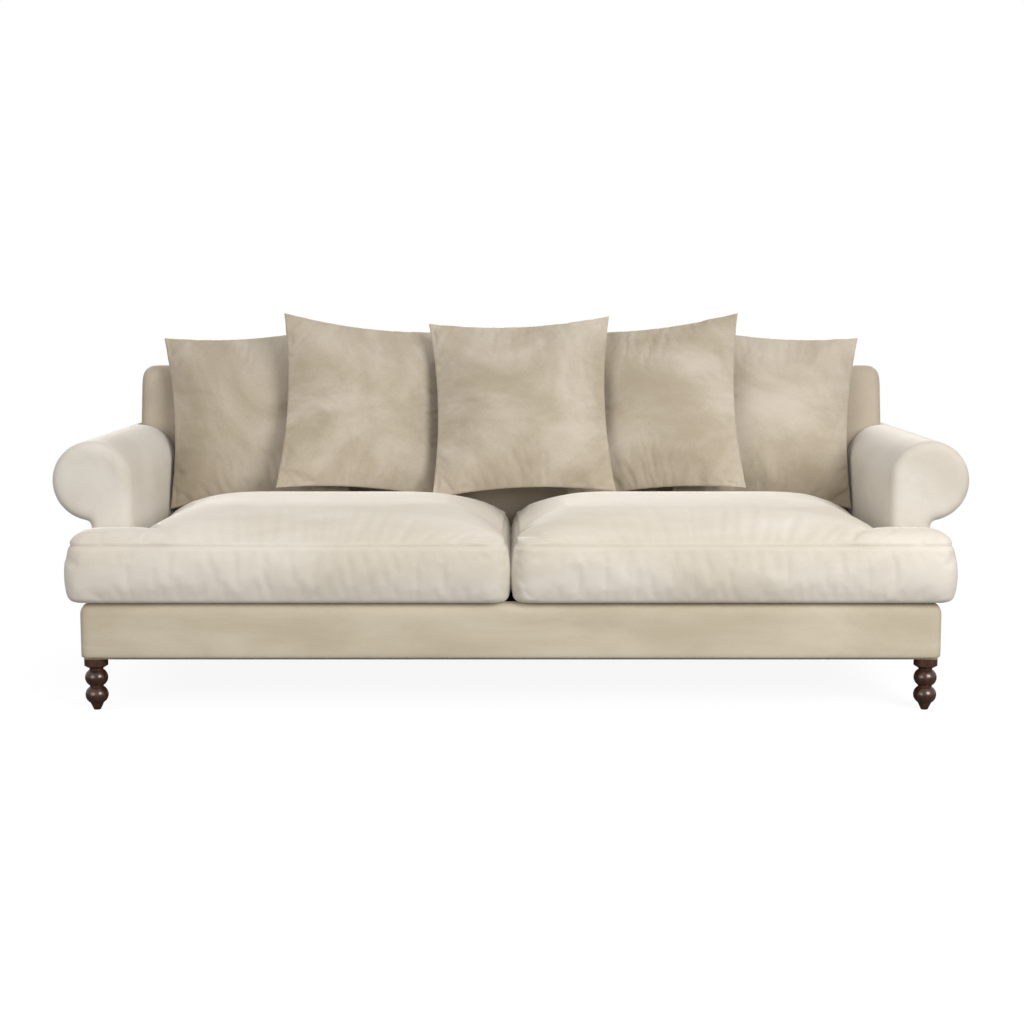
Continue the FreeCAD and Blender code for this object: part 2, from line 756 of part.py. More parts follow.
back_post = new_body("back_post")
post_outline = [
    (post_rear - cell["post_foot"], rail_top),
    (post_rear, rail_top),
    (post_rear, knee),
    (back_frame(frame_top) + cell["post_foot"], frame_top),
    (back_frame(frame_top), frame_top),
    (back_frame(knee), knee),
]
pad(back_post, "YZ_Plane", post_inside, post_outline, cell["post_thickness"])
pair(cut(back_post, joint_holes, "back_post_drilled"), "back_post")
between_posts = (-post_inside, post_inside)
for label, front, low in (
    ("back_top_rail", back_frame(frame_top), top_rail_low),
    ("back_knee_rail", back_frame(knee), knee_rail_low),
):
    blank = board(
        f"{label}_blank", between_posts,
        (front, front + cell["back_rail_depth"]), (low, low + cell["tacking_rail_height"]))
    node(cut(blank, joint_holes, label), label)
foot_blank = board(
    "back_foot_blank", between_posts, (rear_rail_inside, post_rear), (back_foot_rail_low, back_foot_rail_top))
node(cut(foot_blank, joint_holes, "back_foot_rail"), "back_foot_rail")
uprights = []
upright_outline = [
    (back_frame(knee), knee),
    (back_frame(knee) + cell["back_rail_depth"], knee),
    (back_frame(top_rail_low) + cell["back_rail_depth"], top_rail_low),
    (back_frame(top_rail_low), top_rail_low),
]
for sign in (-1, 1):
    upright = new_body("back_upright")
    start = cell["upright_offset"] * sign - cell["post_thickness"] / 2
    pad(upright, "YZ_Plane", start, upright_outline, cell["post_thickness"])
    uprights.append(cut(upright, joint_holes, "upright_drilled"))
group("back_uprights", uprights)
back_webs = []
back_web_pitch = post_inside * 2 / cell["back_web_count"]
web_low = knee_rail_low
back_web_outline = [
    (back_web(web_low), web_low),
    (back_frame(web_low), web_low),
    (back_frame(frame_top), frame_top),
    (back_web(frame_top), frame_top),
]
for index in range(cell["back_web_count"].number):
    web = new_body("back_web")
    start = back_web_pitch * (index + 0.5) - post_inside - web_half
    pad(web, "YZ_Plane", start, back_web_outline, cell["web_width"])
    back_webs.append(web)
group("back_webs", back_webs)


# Back cover: raked foam with a rounded top and ends, open at the rear for the outside back panel

back_cover = new_body("back_cover")
back_bend = cell["back_height"] - back_tangent * cell["back_rake"].cos()
back_outline = [
    (inside_back(deck), deck),
    (base_rear, deck),
    (base_rear, back_shoulder, cell["back_top_round"]),
    (base_rear - cell["back_top_round"], cell["back_height"]),
    (inside_back(cell["back_height"]) + back_tangent, cell["back_height"], cell["back_top_round"]),
    (inside_back(back_bend), back_bend),
]
back_block = pad(back_cover, "YZ_Plane", -half_base, back_outline, cell["base_width"])
fillet(
    back_cover, back_block, cell["back_end_round"],
    lambda edge: (lies_at(edge, "x", half_base) or lies_at(edge, "x", -half_base))
    and not lies_at(edge, "z", deck))
back_hollow = [
    (back_web(deck) - soft, deck),
    (past, deck),
    (past, back_shoulder),
    (back_web(back_shoulder) - soft, back_shoulder),
]
end_inside = half_base - cell["back_end_padding"]
pocket(back_cover, "YZ_Plane", -end_inside, back_hollow, end_inside * 2, Reversed=True)
node(back_cover, "back_cover")
panel_half = end_inside - soft
panel_depth = (base_rear - cell["panel_padding"], base_rear)
outside_back = board("outside_back", (-panel_half, panel_half), panel_depth, (deck, frame_top))
node(outside_back, "outside_back")


# Loose cushions: drawn-in rounded outlines, lofted up to a crown

SWELL = [(0, 0), (0.06, 0.27), (0.19, 0.58), (0.4, 0.83), (0.66, 0.97), (0.86, 1)]


def soft_loop(corners, draw_in, height):
    """A rounded outline at a height through (x, y, radius) corners, anticlockwise.

    Each side is drawn in at its middle.
    """
    points = [FreeCAD.Vector(x, y, height) for x, y, radius in corners]
    ways = [(points[i] - points[i - 1]).normalize() for i in range(len(points))]
    edges = []
    for index, (x, y, radius) in enumerate(corners):
        following = (index + 1) % len(points)
        come, leave = ways[index], ways[following]
        start = points[index] - come * radius
        end = points[index] + leave * radius
        centre = start + leave * radius
        bend = centre + (points[index] - centre).normalize() * radius
        edges.append(Part.Arc(start, bend, end).toShape())
        stop = points[following] - leave * corners[following][2]
        inwards = FreeCAD.Vector(-leave.y, leave.x, 0)
        edges.append(Part.Arc(end, (end + stop) / 2 + inwards * draw_in, stop).toShape())
    return Part.Wire(edges)


def soft_feature(label, shape):
    piece = doc.addObject("Part::Feature", label)
    piece.Shape = shape
    return piece


sized = {name: size.number for name, size in cell.items()}
skin = sized["cover_thickness"]
lining = skin + sized["soft_clearance"]


# Seat cushions: a boxed T-shape with a piped seam, under a crown, with an ear in front of the arm

def crowned(x, y, low, rise, radius, draw_in):
    """A crown over a rounded rectangle: the sides rise steeply from the seam and flatten off."""
    reach = min(x[1] - x[0], y[1] - y[0]) / 2
    loops = []
    for share, swell in SWELL:
        inset = reach * share
        bend = (reach - inset) * (radius / reach * (1 - share) + 0.7 * share)
        corners = [
            (x[0] + inset, y[0] + inset, bend),
            (x[1] - inset, y[0] + inset, bend),
            (x[1] - inset, y[1] - inset, bend),
            (x[0] + inset, y[1] - inset, bend),
        ]
        loops.append(soft_loop(corners, draw_in * (1 - share), low + rise * swell))
    return Part.makeLoft(loops, True, False)


def seat_form(skin):
    """The right seat cushion's form, taken in all round by a skin thickness."""
    low = deck.number + sized["soft_clearance"] + skin
    seam = deck.number + sized["soft_clearance"] + sized["boxing_height"]
    x_near = sized["cushion_gap"] / 2
    x_far = arm_inside.number - sized["cushion_clearance"]
    x_ear = sized["cushion_span"] / 2
    y_front = base_front.number - sized["cushion_overhang"]
    y_ear = arm_front.number - sized["cushion_clearance"]
    y_rear = inside_back(deck).number - sized["cushion_clearance"]
    corner = sized["seat_corner"]

    def band(height, inset):
        """The T-shaped outline of the side band."""
        return soft_loop([
            (x_near + inset, y_front + inset, corner),
            (x_ear - inset, y_front + inset, corner),
            (x_ear - inset, y_ear - inset, corner),
            (x_far - inset, y_ear - inset, sized["arm_edge_round"]),
            (x_far - inset, y_rear - inset, corner),
            (x_near + inset, y_rear - inset, corner),
        ], sized["seat_draw_in"], height)

    inset = sized["boxing_bulge"] + skin
    piping = sized["seam_piping"]
    boxing = Part.makeLoft(
        [band(low, inset), band((low + seam) / 2, skin), band(seam + piping - skin, inset + piping)], True, False)
    main = crowned(
        (x_near + inset, x_far - inset), (y_front + inset, y_rear - inset), seam + skin / 2,
        sized["seat_crown"] - skin * 1.5, corner, sized["seat_draw_in"])
    ear_root = x_far - (x_ear - x_far)
    ear = crowned(
        (ear_root, x_ear - inset), (y_front + inset + piping / 2, y_ear - inset), seam + skin / 2,
        sized["ear_crown"] - skin * 1.5, corner, sized["seat_draw_in"] / 2)
    return boxing.fuse(main).fuse(ear)


seat_outside = seat_form(0)
pair(soft_feature("seat_cover", seat_outside.cut(seat_form(skin))), "seat_cover")
pair(soft_feature("seat_core", seat_form(lining)), "seat_core")


# Scatter cushions: each leans on the back or on the cushions behind it, and stands on the seat

def scatter_form(skin):
    """A cushion lying flat, its fuller front upwards, taken in all round by a skin thickness."""
    half = sized["scatter_size"] / 2 - skin * 2
    sides = (-half, half)
    corner, draw_in = sized["scatter_corner"], sized["scatter_draw_in"]
    front = crowned(sides, sides, 0, sized["scatter_front"] - skin, corner, draw_in)
    rear = crowned(sides, sides, 0, sized["scatter_rear"] - skin, corner, draw_in)
    rear = rear.mirror(FreeCAD.Vector(), FreeCAD.Vector(0, 0, 1))
    return front.fuse(rear)


def slide_to(shape, way, others, clearance):
    """Slides a shape along a way until it is within a clearance of its neighbours."""
    close = clearance + sized["soft_clearance"] / 10
    gap = min(shape.distToShape(other)[0] for other in others)
    while gap > close:
        shape.translate(way * (gap - clearance))
        gap = min(shape.distToShape(other)[0] for other in others)


def turned_about(x, y, z, degrees):
    return FreeCAD.Rotation(FreeCAD.Vector(x, y, z), degrees)


scatter_outside = scatter_form(0)
scatter_cover = scatter_outside.cut(scatter_form(skin))
scatter_insert = scatter_form(lining)
back_slope = turned_about(1, 0, 0, 90 - sized["back_rake"])
up_the_back = back_slope.multVec(FreeCAD.Vector(0, 1, 0))
off_the_back = back_slope.multVec(FreeCAD.Vector(0, 0, 1))
seats = [seat_outside, seat_outside.mirror(FreeCAD.Vector(), FreeCAD.Vector(1, 0, 0))]
doc.recompute()
behind = [back_cover.Shape]
start_height = deck + cell["boxing_height"] + cell["seat_crown"] + cell["scatter_size"] / 2
outer_offset, outer_roll = sized["outer_scatter_offset"], sized["outer_scatter_roll"]
inner_offset, inner_roll = sized["inner_scatter_offset"], sized["inner_scatter_roll"]
inner_yaw = sized["inner_scatter_yaw"]
middle_yaw, middle_roll = sized["middle_scatter_yaw"], sized["middle_scatter_roll"]
for name, across, yaw, roll, room in (
    ("far_left", -outer_offset, 0, outer_roll, sized["scatter_clearance"]),
    ("far_right", outer_offset, 0, -outer_roll, sized["scatter_clearance"]),
    ("left", -inner_offset, inner_yaw, -inner_roll, sized["inner_scatter_room"]),
    ("right", inner_offset, -inner_yaw, inner_roll, sized["inner_scatter_room"]),
    ("middle", sized["middle_scatter_offset"], -middle_yaw, middle_roll, sized["middle_scatter_room"]),
):
    cushion = scatter_outside.copy()
    lean = turned_about(1, 0, 0, 90 - sized["scatter_lean"])
    turn = lean * turned_about(0, 1, 0, yaw) * turned_about(0, 0, 1, roll)
    start = FreeCAD.Vector(across, inside_back(start_height).number, start_height.number)
    cushion.Placement = FreeCAD.Placement(start, turn)
    for rise in (sized["seat_crown"], sized["seat_crown"] / 4):
        cushion.translate(up_the_back * rise + off_the_back * sized["scatter_size"] / 2)
        slide_to(cushion, -off_the_back, behind, room)
        slide_to(cushion, -up_the_back, seats, sized["soft_clearance"])
    behind.append(cushion)
    for kind, form in (("cover", scatter_cover), ("insert", scatter_insert)):
        piece = node(soft_feature(f"{name}_scatter_{kind}", form), f"{name}_scatter_{kind}")
        piece.Placement = cushion.Placement


# Checks every piece, then writes one file for each

doc.recompute()
for item in doc.Objects:
    if "Invalid" in item.State or "Error" in item.State:
        raise RuntimeError(f"{item.Label} failed: {item.State}")
for piece in nodes:
    if piece.Shape.isNull() or not piece.Shape.isValid():
        raise RuntimeError(f"{piece.Label} has no valid shape")
os.makedirs("parts", exist_ok=True)
for piece in nodes:
    piece.Shape.exportStep(f"parts/{piece.Label}.step")
print(f"{len(nodes)} nodes, {sum(len(piece.Shape.Solids) for piece in nodes)} solids")
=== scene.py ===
import math

import bmesh
import bpy
import numpy
from mathutils import Matrix, Vector, noise


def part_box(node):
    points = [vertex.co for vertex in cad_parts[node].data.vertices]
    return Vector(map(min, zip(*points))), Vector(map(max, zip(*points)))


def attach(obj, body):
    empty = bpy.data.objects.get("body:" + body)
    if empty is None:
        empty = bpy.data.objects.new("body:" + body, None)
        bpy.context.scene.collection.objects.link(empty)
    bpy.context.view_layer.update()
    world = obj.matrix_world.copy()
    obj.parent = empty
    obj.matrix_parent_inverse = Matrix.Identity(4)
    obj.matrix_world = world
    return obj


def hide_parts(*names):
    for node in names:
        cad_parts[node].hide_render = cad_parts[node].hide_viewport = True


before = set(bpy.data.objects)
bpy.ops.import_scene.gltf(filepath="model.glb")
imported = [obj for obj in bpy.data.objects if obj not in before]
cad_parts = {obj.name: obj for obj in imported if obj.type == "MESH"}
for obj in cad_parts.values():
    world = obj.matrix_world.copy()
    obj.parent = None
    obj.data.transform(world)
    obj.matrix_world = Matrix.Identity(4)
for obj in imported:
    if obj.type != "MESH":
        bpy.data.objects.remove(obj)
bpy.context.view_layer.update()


# The studio: a pale floor that runs on into a white backdrop, a broad soft lamp from the upper right, a
# weaker one from the left and a faint one overhead. The camera stands a little above the scatter cushions
# and looks slightly down.

FLOOR_HALF = 30
PAPER_TONE = (0.93, 0.93, 0.93, 1)
PAPER_GLOW_SHARE = 0.85
PAPER_WHITE = 1.08
ROOM_LIGHT = 0.55
scene = bpy.context.scene
scene.view_settings.view_transform = "Standard"

floor_mesh = bpy.data.meshes.new("studio_floor")
floor_shape = bmesh.new()
bmesh.ops.create_grid(floor_shape, x_segments=1, y_segments=1, size=FLOOR_HALF)
floor_shape.to_mesh(floor_mesh)
floor_shape.free()
floor = bpy.data.objects.new("studio_floor", floor_mesh)
scene.collection.objects.link(floor)

paper = bpy.data.materials.new("studio_paper")
paper.use_nodes = True
paper_nodes = paper.node_tree.nodes
paper_links = paper.node_tree.links
paper_nodes.clear()
paper_out = paper_nodes.new("ShaderNodeOutputMaterial")
paper_mix = paper_nodes.new("ShaderNodeMixShader")
paper_mix.inputs["Fac"].default_value = PAPER_GLOW_SHARE
paper_matt = paper_nodes.new("ShaderNodeBsdfDiffuse")
paper_matt.inputs["Color"].default_value = PAPER_TONE
paper_glow = paper_nodes.new("ShaderNodeEmission")
paper_ray = paper_nodes.new("ShaderNodeLightPath")
paper_level = paper_nodes.new("ShaderNodeMapRange")
paper_level.inputs["To Max"].default_value = PAPER_WHITE
paper_links.new(paper_ray.outputs["Is Camera Ray"], paper_level.inputs["Value"])
paper_links.new(paper_level.outputs["Result"], paper_glow.inputs["Strength"])
paper_links.new(paper_matt.outputs["BSDF"], paper_mix.inputs[1])
paper_links.new(paper_glow.outputs["Emission"], paper_mix.inputs[2])
paper_links.new(paper_mix.outputs["Shader"], paper_out.inputs["Surface"])
floor_mesh.materials.append(paper)

backdrop = bpy.data.worlds.new("studio_backdrop")
scene.world = backdrop
backdrop.use_nodes = True
sky_nodes = backdrop.node_tree.nodes
sky_links = backdrop.node_tree.links
sky_nodes.clear()
sky_out = sky_nodes.new("ShaderNodeOutputWorld")
sky = sky_nodes.new("ShaderNodeBackground")
sky.inputs["Color"].default_value = (1, 1, 1, 1)
sky_ray = sky_nodes.new("ShaderNodeLightPath")
sky_level = sky_nodes.new("ShaderNodeMapRange")
sky_level.inputs["To Min"].default_value = ROOM_LIGHT
sky_level.inputs["To Max"].default_value = 1
sky_links.new(sky_ray.outputs["Is Camera Ray"], sky_level.inputs["Value"])
sky_links.new(sky_level.outputs["Result"], sky.inputs["Strength"])
sky_links.new(sky.outputs["Background"], sky_out.inputs["Surface"])


LAMP_AIM = Vector((0, 0, 0.45))


def soft_lamp(name, place, size, power):
    """A square lamp that faces the middle of the sofa."""
    light = bpy.data.lights.new(name, "AREA")
    light.size = size
    light.energy = power
    lamp = bpy.data.objects.new(name, light)
    scene.collection.objects.link(lamp)
    lamp.location = place
    lamp.rotation_euler = (LAMP_AIM - lamp.location).to_track_quat("-Z", "Y").to_euler()


soft_lamp("key_lamp", (2.9, -4.0, 2.3), size=2.4, power=176)
soft_lamp("fill_lamp", (-3.2, -4.2, 1.5), size=2.8, power=72)
soft_lamp("top_lamp", (0.4, 0.2, 4.2), size=3.0, power=20)

PHOTO_PIXELS = 1024
FOCAL_PIXELS = 1787
HORIZON_PIXEL = 300
camera_data = bpy.data.cameras.new("photo_camera")
camera_data.sensor_width = 36
camera_data.lens = camera_data.sensor_width * FOCAL_PIXELS / PHOTO_PIXELS
camera = bpy.data.objects.new("photo_camera", camera_data)
scene.collection.objects.link(camera)
camera.location = (0.003, -5.085, 1.075)
down = math.atan((PHOTO_PIXELS / 2 - HORIZON_PIXEL) / FOCAL_PIXELS)
camera.rotation_euler = (math.pi / 2 - down, 0, 0)
scene.camera = camera


# Turned feet: lathe-turned hardwood stained a teak brown and lacquered, with the grain running up the foot.
# Their colour is the teak stain made darker still, and that extra darkness is painted shade.
# A hanger bolt in the top screws into the tee nut in its leg block.

grain = bpy.data.node_groups.new("long_grain", "ShaderNodeTree")
grain.interface.new_socket("Pale", in_out="INPUT", socket_type="NodeSocketColor")
grain.interface.new_socket("Dark", in_out="INPUT", socket_type="NodeSocketColor")
grain.interface.new_socket("Stretch", in_out="INPUT", socket_type="NodeSocketVector")
grain.interface.new_socket("Color", in_out="OUTPUT", socket_type="NodeSocketColor")
grain.interface.new_socket("Height", in_out="OUTPUT", socket_type="NodeSocketFloat")
grain_in = grain.nodes.new("NodeGroupInput")
grain_out = grain.nodes.new("NodeGroupOutput")
grain_place = grain.nodes.new("ShaderNodeTexCoord")
grain_turn = grain.nodes.new("ShaderNodeMapping")
grain_rings = grain.nodes.new("ShaderNodeTexNoise")
grain_rings.inputs["Scale"].default_value = 1
grain_rings.inputs["Detail"].default_value = 5
grain_rings.inputs["Distortion"].default_value = 0.6
grain_pores = grain.nodes.new("ShaderNodeTexNoise")
grain_pores.inputs["Scale"].default_value = 6
grain_pores.inputs["Detail"].default_value = 2
grain_sum = grain.nodes.new("ShaderNodeMath")
grain_sum.operation = "MULTIPLY_ADD"
grain_sum.inputs[1].default_value = 0.35
grain_ramp = grain.nodes.new("ShaderNodeMapRange")
grain_ramp.inputs["From Min"].default_value = 0.45
grain_ramp.inputs["From Max"].default_value = 0.9
grain_mix = grain.nodes.new("ShaderNodeMix")
grain_mix.data_type = "RGBA"
grain.links.new(grain_place.outputs["Object"], grain_turn.inputs["Vector"])
grain.links.new(grain_in.outputs["Stretch"], grain_turn.inputs["Scale"])
grain.links.new(grain_turn.outputs["Vector"], grain_rings.inputs["Vector"])
grain.links.new(grain_turn.outputs["Vector"], grain_pores.inputs["Vector"])
grain.links.new(grain_pores.outputs["Fac"], grain_sum.inputs[0])
grain.links.new(grain_rings.outputs["Fac"], grain_sum.inputs[2])
grain.links.new(grain_sum.outputs["Value"], grain_ramp.inputs["Value"])
grain.links.new(grain_ramp.outputs["Result"], grain_mix.inputs["Factor"])
grain.links.new(grain_in.outputs["Dark"], grain_mix.inputs["A"])
grain.links.new(grain_in.outputs["Pale"], grain_mix.inputs["B"])
grain.links.new(grain_mix.outputs["Result"], grain_out.inputs["Color"])
grain.links.new(grain_sum.outputs["Value"], grain_out.inputs["Height"])


def wood(name, pale, dark, stretch, roughness, lacquer, bump):
    """Wood whose grain is long along the axis with the smallest stretch."""
    material = bpy.data.materials.new(name)
    material.use_nodes = True
    nodes, links = material.node_tree.nodes, material.node_tree.links
    shader = nodes["Principled BSDF"]
    shader.inputs["Roughness"].default_value = roughness
    shader.inputs["Coat Weight"].default_value = lacquer
    shader.inputs["Coat Roughness"].default_value = 0.12
    figure = nodes.new("ShaderNodeGroup")
    figure.node_tree = grain
    figure.inputs["Pale"].default_value = (*pale, 1)
    figure.inputs["Dark"].default_value = (*dark, 1)
    figure.inputs["Stretch"].default_value = stretch
    relief = nodes.new("ShaderNodeBump")
    relief.inputs["Strength"].default_value = bump
    relief.inputs["Distance"].default_value = 0.0004
    links.new(figure.outputs["Color"], shader.inputs["Base Color"])
    links.new(figure.outputs["Height"], relief.inputs["Height"])
    links.new(relief.outputs["Normal"], shader.inputs["Normal"])
    return material


def dress(names, material):
    """Gives the frame's own pieces a finish."""
    for name in names:
        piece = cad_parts[name]
        piece.data.materials.clear()
        piece.data.materials.append(material)


# Teak brown plus painted shade: the stain colour is set darker than the lit wood's own.
teak_stain_and_painted_shade = wood(
    "teak_stain_and_painted_shade", pale=(0.085, 0.032, 0.014), dark=(0.026, 0.010, 0.005), stretch=(90, 90, 14),
    roughness=0.32, lacquer=0.7, bump=0.25)
FEET = ["front_left_foot", "front_right_foot", "rear_left_foot", "rear_right_foot"]
dress(FEET, teak_stain_and_painted_shade)


# The frame inside: planed hardwood rails, boards and dowels, zinc-plated bolts and tee nuts.
# The padding and the covers are drawn over it and stapled to it.

def planed(name, stretch):
    """Bare hardwood straight from the planer."""
    return wood(
        name, pale=(0.58, 0.40, 0.22), dark=(0.42, 0.26, 0.13), stretch=stretch,
        roughness=0.6, lacquer=0, bump=0.4)


ALONG_GRAIN = 7
ACROSS_GRAIN = 60
planed_rails = planed("planed_rails", (ALONG_GRAIN, ACROSS_GRAIN, ACROSS_GRAIN))
planed_posts = planed("planed_posts", (ACROSS_GRAIN, ACROSS_GRAIN, ALONG_GRAIN))
planed_depths = planed("planed_depths", (ACROSS_GRAIN, ALONG_GRAIN, ACROSS_GRAIN))
SIDES = ("left", "right")
dress(["front_rail", "rear_rail", "frame_dowels"], planed_rails)
dress(["back_top_rail", "back_knee_rail", "back_foot_rail"], planed_rails)
dress(["leg_blocks", "back_uprights"], planed_posts)
dress(["seat_stretchers"], planed_depths)
for side in SIDES:
    dress([f"{side}_front_scroll_board", f"{side}_rear_scroll_board", f"{side}_back_post"], planed_posts)
    dress([f"{side}_side_rail", f"{side}_arm_top_rail"], planed_depths)
    dress([f"{side}_arm_foot_rail", f"{side}_arm_tacking_rail"], planed_depths)

zinc = bpy.data.materials.new("zinc_plate")
zinc.use_nodes = True
zinc_nodes, zinc_links = zinc.node_tree.nodes, zinc.node_tree.links
zinc_shader = zinc_nodes["Principled BSDF"]
zinc_shader.inputs["Metallic"].default_value = 1
zinc_place = zinc_nodes.new("ShaderNodeTexCoord")
zinc_spangle = zinc_nodes.new("ShaderNodeTexVoronoi")
zinc_spangle.inputs["Scale"].default_value = 260
zinc_tone = zinc_nodes.new("ShaderNodeMix")
zinc_tone.data_type = "RGBA"
zinc_tone.inputs["A"].default_value = (0.50, 0.51, 0.52, 1)
zinc_tone.inputs["B"].default_value = (0.66, 0.67, 0.68, 1)
zinc_gloss = zinc_nodes.new("ShaderNodeMapRange")
zinc_gloss.inputs["To Min"].default_value = 0.3
zinc_gloss.inputs["To Max"].default_value = 0.45
zinc_links.new(zinc_place.outputs["Object"], zinc_spangle.inputs["Vector"])
zinc_links.new(zinc_spangle.outputs["Color"], zinc_tone.inputs["Factor"])
zinc_links.new(zinc_spangle.outputs["Color"], zinc_gloss.inputs["Value"])
zinc_links.new(zinc_tone.outputs["Result"], zinc_shader.inputs["Base Color"])
zinc_links.new(zinc_gloss.outputs["Result"], zinc_shader.inputs["Roughness"])
dress(["foot_bolts", "tee_nuts", "coach_bolts"], zinc)


# Webbing, platform cloth and dust cover: woven cloth. Elastic webs carry the seat and the back, a dark lining
# covers the deck under the seat cushions, and a thin dark cloth closes the sofa underneath.

weave = bpy.data.node_groups.new("plain_weave", "ShaderNodeTree")
weave.interface.new_socket("Thread", in_out="INPUT", socket_type="NodeSocketFloat")
weave.interface.new_socket("Height", in_out="OUTPUT", socket_type="NodeSocketFloat")
weave_in = weave.nodes.new("NodeGroupInput")
weave_out = weave.nodes.new("NodeGroupOutput")
weave_place = weave.nodes.new("ShaderNodeTexCoord")
weave_threads = []
for way in ("X", "Y", "Z"):
    thread = weave.nodes.new("ShaderNodeTexWave")
    thread.bands_direction = way
    thread.inputs["Distortion"].default_value = 0.4
    weave.links.new(weave_place.outputs["Object"], thread.inputs["Vector"])
    weave.links.new(weave_in.outputs["Thread"], thread.inputs["Scale"])
    weave_threads.append(thread)
weave_cross = weave.nodes.new("ShaderNodeMath")
weave_cross.operation = "MAXIMUM"
weave_stand = weave.nodes.new("ShaderNodeMath")
weave_stand.operation = "MAXIMUM"
weave.links.new(weave_threads[0].outputs["Fac"], weave_cross.inputs[0])
weave.links.new(weave_threads[1].outputs["Fac"], weave_cross.inputs[1])
weave.links.new(weave_cross.outputs["Value"], weave_stand.inputs[0])
weave.links.new(weave_threads[2].outputs["Fac"], weave_stand.inputs[1])
weave.links.new(weave_stand.outputs["Value"], weave_out.inputs["Height"])


def lining(name, pale, dark, thread):
    """Plain woven cloth, darker between its threads."""
    material = bpy.data.materials.new(name)
    material.use_nodes = True
    nodes, links = material.node_tree.nodes, material.node_tree.links
    shader = nodes["Principled BSDF"]
    shader.inputs["Roughness"].default_value = 0.9
    cloth = nodes.new("ShaderNodeGroup")
    cloth.node_tree = weave
    cloth.inputs["Thread"].default_value = thread
    tone = nodes.new("ShaderNodeMix")
    tone.data_type = "RGBA"
    tone.inputs["A"].default_value = (*dark, 1)
    tone.inputs["B"].default_value = (*pale, 1)
    relief = nodes.new("ShaderNodeBump")
    relief.inputs["Strength"].default_value = 0.5
    relief.inputs["Distance"].default_value = 0.0005
    links.new(cloth.outputs["Height"], tone.inputs["Factor"])
    links.new(cloth.outputs["Height"], relief.inputs["Height"])
    links.new(tone.outputs["Result"], shader.inputs["Base Color"])
    links.new(relief.outputs["Normal"], shader.inputs["Normal"])
    return material


elastic_web = lining("elastic_web", pale=(0.10, 0.075, 0.055), dark=(0.045, 0.032, 0.024), thread=220)
dark_lining = lining("dark_lining", pale=(0.035, 0.030, 0.026), dark=(0.016, 0.013, 0.011), thread=330)
dress(["seat_webs", "back_webs"], elastic_web)
dress(["dust_cover"], dark_lining)


MERGE_DISTANCE = 0.00002


def cover_copy(name, node, material):
    """A new piece with the form of one of the frame's soft pieces, merged into a whole mesh."""
    shape = bmesh.new()
    shape.from_mesh(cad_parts[node].data)
    bmesh.ops.remove_doubles(shape, verts=shape.verts, dist=MERGE_DISTANCE)
    mesh = bpy.data.meshes.new(name)
    shape.to_mesh(mesh)
    shape.free()
    mesh.materials.append(material)
    piece = bpy.data.objects.new(name, mesh)
    scene.collection.objects.link(piece)
    return piece


def settled(piece):
    """Applies a piece's modifiers to its mesh."""
    graph = bpy.context.evaluated_depsgraph_get()
    finished = bpy.data.meshes.new_from_object(piece.evaluated_get(graph))
    piece.modifiers.clear()
    piece.data = finished


def evened(piece, voxel):
    """Turns a mesh into even small squares that can bend like cloth."""
    even = piece.modifiers.new("even", "REMESH")
    even.mode = "VOXEL"
    even.voxel_size = voxel
    settled(piece)


def relaxed(piece, turns):
    """Rounds off the steps that evening leaves."""
    relax = piece.modifiers.new("relax", "SMOOTH")
    relax.factor = 0.5
    relax.iterations = turns
    settled(piece)


def shade_soft(piece):
    """Shades a piece without facets."""
    for face in piece.data.polygons:
        face.use_smooth = True


RIPPLE = 0.0012
RIPPLES_PER_METRE = 9
platform = cover_copy("platform", "platform_cloth", dark_lining)
evened(platform, voxel=0.012)
for point in platform.data.vertices:
    point.co.z += RIPPLE * noise.noise(point.co * RIPPLES_PER_METRE) - RIPPLE
shade_soft(platform)
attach(platform, "frame")
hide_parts("platform_cloth", "deck_pad")


# Base: the rails under the seat, padded and close-covered in velvet. The cover is pulled over the top edge of
# the rails and stapled underneath, so its corners are soft and the long faces are nearly flat.

velvet_nap = bpy.data.node_groups.new("velvet_nap", "ShaderNodeTree")
velvet_nap.interface.new_socket("Pale", in_out="INPUT", socket_type="NodeSocketColor")
velvet_nap.interface.new_socket("Deep", in_out="INPUT", socket_type="NodeSocketColor")
velvet_nap.interface.new_socket("Brushing", in_out="INPUT", socket_type="NodeSocketVector")
velvet_nap.interface.new_socket("Color", in_out="OUTPUT", socket_type="NodeSocketColor")
velvet_nap.interface.new_socket("Height", in_out="OUTPUT", socket_type="NodeSocketFloat")
nap_in = velvet_nap.nodes.new("NodeGroupInput")
nap_out = velvet_nap.nodes.new("NodeGroupOutput")
nap_place = velvet_nap.nodes.new("ShaderNodeTexCoord")
nap_stroke = velvet_nap.nodes.new("ShaderNodeMapping")
nap_patches = velvet_nap.nodes.new("ShaderNodeTexNoise")
nap_patches.inputs["Scale"].default_value = 1
nap_patches.inputs["Detail"].default_value = 4
nap_patches.inputs["Roughness"].default_value = 0.62
nap_patches.inputs["Distortion"].default_value = 0.5
nap_fine = velvet_nap.nodes.new("ShaderNodeTexNoise")
nap_fine.inputs["Scale"].default_value = 210
nap_fine.inputs["Detail"].default_value = 2
nap_pile = velvet_nap.nodes.new("ShaderNodeTexNoise")
nap_pile.inputs["Scale"].default_value = 1400
nap_pile.inputs["Detail"].default_value = 1
nap_sum = velvet_nap.nodes.new("ShaderNodeMath")
nap_sum.operation = "MULTIPLY_ADD"
nap_sum.inputs[1].default_value = 0.16
nap_range = velvet_nap.nodes.new("ShaderNodeMapRange")
nap_range.interpolation_type = "SMOOTHSTEP"
nap_range.inputs["From Min"].default_value = 0.38
nap_range.inputs["From Max"].default_value = 0.78
nap_mix = velvet_nap.nodes.new("ShaderNodeMix")
nap_mix.data_type = "RGBA"
velvet_nap.links.new(nap_place.outputs["Object"], nap_stroke.inputs["Vector"])
velvet_nap.links.new(nap_in.outputs["Brushing"], nap_stroke.inputs["Scale"])
